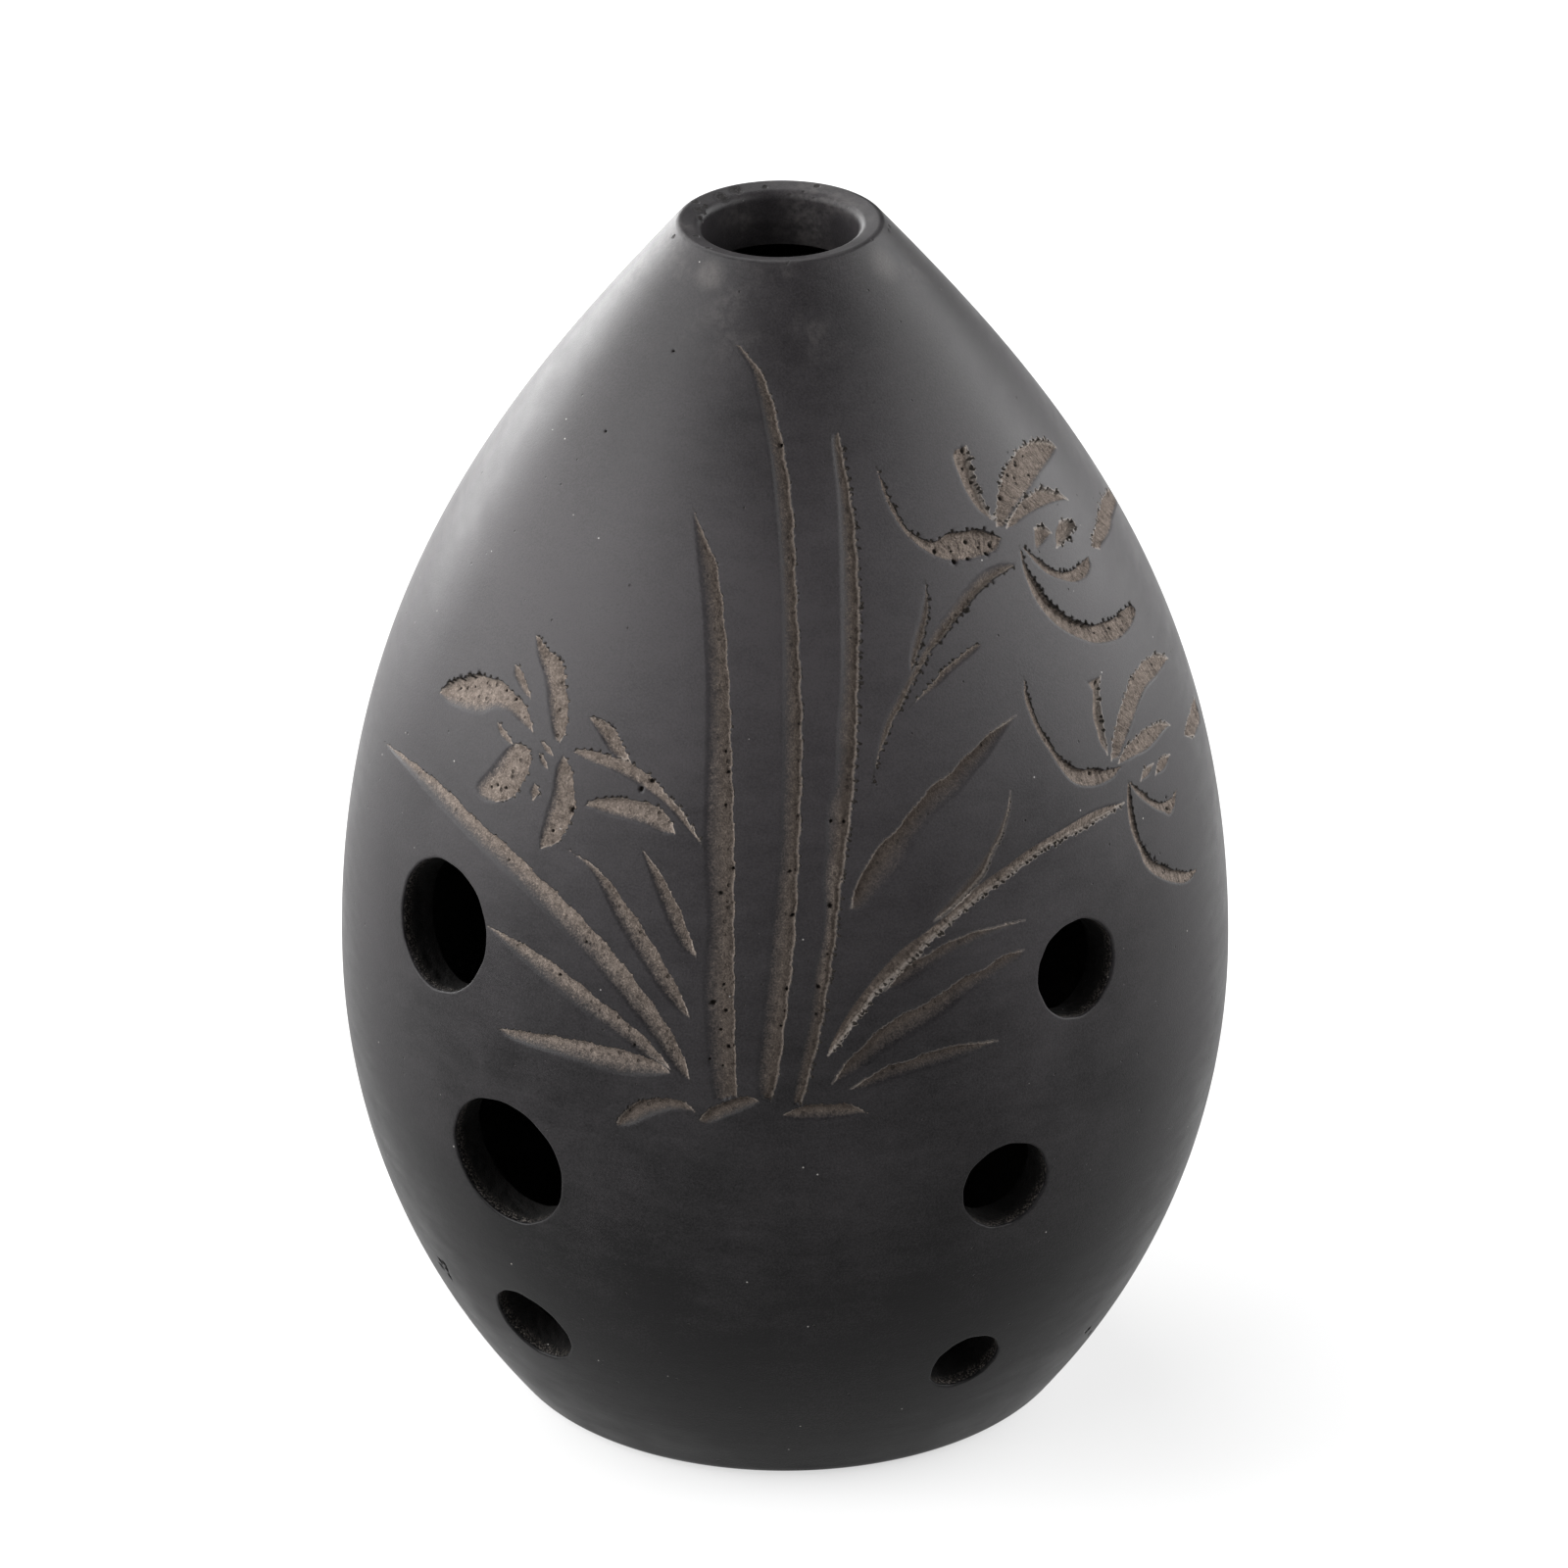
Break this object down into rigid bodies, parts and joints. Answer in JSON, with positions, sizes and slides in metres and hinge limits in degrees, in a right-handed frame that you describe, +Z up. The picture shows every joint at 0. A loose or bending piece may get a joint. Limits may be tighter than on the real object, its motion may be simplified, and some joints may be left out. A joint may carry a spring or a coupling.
{
  "type": "xun vessel flute",
  "caption": "Egg-shaped clay vessel flute with a blowing hole in the crown, finger holes in front, thumb holes behind and a flat base.",
  "frame": {"origin": "middle of the flat base, on the surface it stands on", "axes": "+Z up the body to the blowing hole, -Y out of the carved front with the six finger holes, +X to the right as seen from the front"},
  "size_m": [0.075, 0.075, 0.105],
  "materials": {
    "burnished_clay": "fired dark grey clay, burnished to a satin sheen, with fine scratches and pits",
    "slip_joint": "fired clay slip, rubbed down flush with the wall"
  },
  "bodies": {
    "root": {"front_shell": "burnished_clay", "back_shell": "burnished_clay", "base_disc": "burnished_clay", "mouth_ring": "burnished_clay", "left_seam_slip": "slip_joint", "right_seam_slip": "slip_joint", "base_slip_ring": "slip_joint", "mouth_slip_ring": "slip_joint"}
  },
  "joints": []
}
